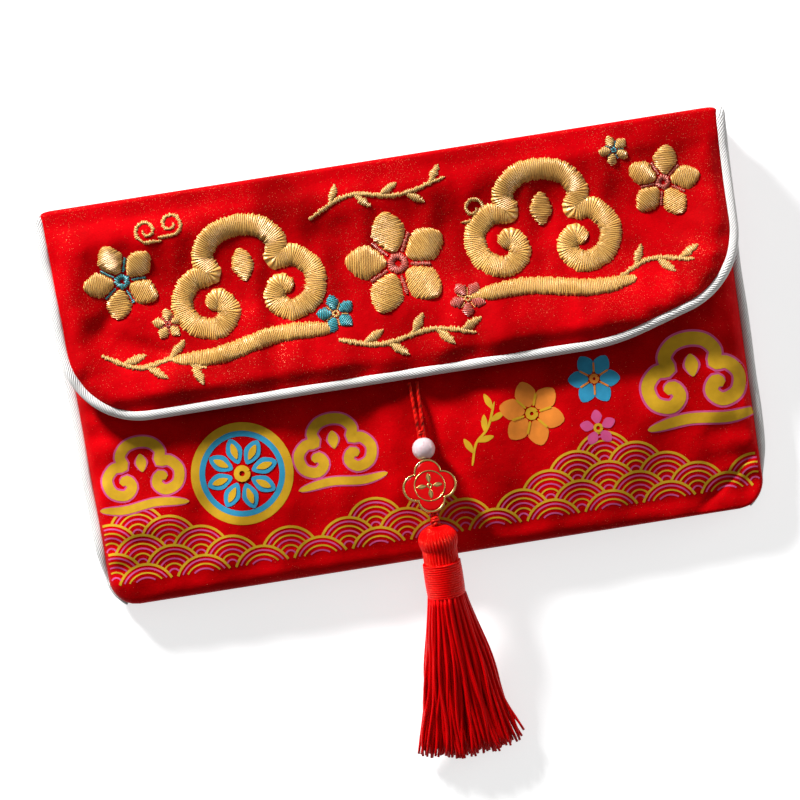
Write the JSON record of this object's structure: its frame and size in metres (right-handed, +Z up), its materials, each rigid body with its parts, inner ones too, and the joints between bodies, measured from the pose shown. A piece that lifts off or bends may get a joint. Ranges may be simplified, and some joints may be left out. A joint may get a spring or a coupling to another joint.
{
  "type": "red envelope pouch",
  "caption": "Padded satin money pouch lying on its back, with a fold-over flap, white piping, an embroidered flap and a cord with bead, charm and tassel.",
  "frame": {"origin": "middle of the flat back that the pouch lies on", "axes": "+X across the pouch to the right, +Y from the bottom edge to the top fold, +Z up out of the front"},
  "size_m": [0.1988, 0.1721, 0.0257],
  "materials": {
    "printed_satin": "red satin, printed on the front",
    "glitter_satin": "red satin with glitter, embroidered in gold thread",
    "lining_satin": "plain red lining",
    "wadding": "white wadding",
    "white_twill": "white twill bias piping",
    "core_cord": "cotton piping cord",
    "magnet_steel": "plated magnet disc",
    "red_cord": "braided red cord",
    "pearl": "imitation pearl",
    "gilt_metal": "polished gilt",
    "red_enamel": "glossy red enamel",
    "tassel_silk": "silky red thread"
  },
  "bodies": {
    "pouch": {"front_panel": "printed_satin", "front_wadding": "wadding", "front_lining": "lining_satin", "back_panel": "glitter_satin", "back_wadding": "wadding", "back_lining": "lining_satin", "left_piping_cover": "white_twill", "right_piping_cover": "white_twill", "left_piping_core": "core_cord", "right_piping_core": "core_cord", "front_magnet": "magnet_steel"},
    "spine": {"spine_panel": "glitter_satin", "spine_wadding": "wadding", "spine_lining": "lining_satin", "spine_piping_cover": "white_twill", "spine_piping_core": "core_cord"},
    "flap": {"flap_panel": "glitter_satin", "flap_wadding": "wadding", "flap_lining": "lining_satin", "flap_piping_cover": "white_twill", "flap_piping_core": "core_cord", "flap_magnet": "magnet_steel", "cord_tails": "red_cord"},
    "pendant": {"hang_cord": "red_cord", "charm_frame": "gilt_metal", "charm_enamel_front": "red_enamel", "charm_enamel_back": "red_enamel"},
    "bead": {"pearl_bead": "pearl"},
    "knot": {"cord_knot": "red_cord"},
    "tassel": {"tassel_head": "tassel_silk", "tassel_neck": "tassel_silk", "tassel_band": "tassel_silk", "tassel_skirt": "tassel_silk"}
  },
  "joints": [
    {"name": "spine_fold", "type": "hinge", "parent": "pouch", "child": "spine", "pos_m": [0, 0.0556, 0.0016], "axis": [-1, 0, 0], "range_deg": [0, 90]},
    {"name": "flap_fold", "type": "hinge", "parent": "spine", "child": "flap", "pos_m": [0, 0.0556, 0.0212], "axis": [-1, 0, 0], "range_deg": [0, 80]},
    {"name": "pendant_lift", "type": "hinge", "parent": "flap", "child": "pendant", "pos_m": [0, -0.00692, 0.01746], "axis": [1, 0, 0], "range_deg": [-50, 0]},
    {"name": "bead_spin", "type": "hinge", "parent": "pendant", "child": "bead", "pos_m": [0, -0.02618, 0.01944], "axis": [0, -0.9925, 0.1221], "continuous": true},
    {"name": "tassel_drop", "type": "hinge", "parent": "pendant", "child": "knot", "pos_m": [0, -0.04702, 0.022], "axis": [-1, 0, 0], "range_deg": [0, 40]},
    {"name": "tassel_sway", "type": "hinge", "parent": "knot", "child": "tassel", "pos_m": [0, -0.04702, 0.022], "axis": [0, 0, 1], "range_deg": [-30, 30]}
  ],
  "couplings": [
    {"joint": "flap_fold", "follows": "spine_fold", "ratio": 0.88889},
    {"joint": "tassel_drop", "follows": "spine_fold", "ratio": 0.44444}
  ]
}
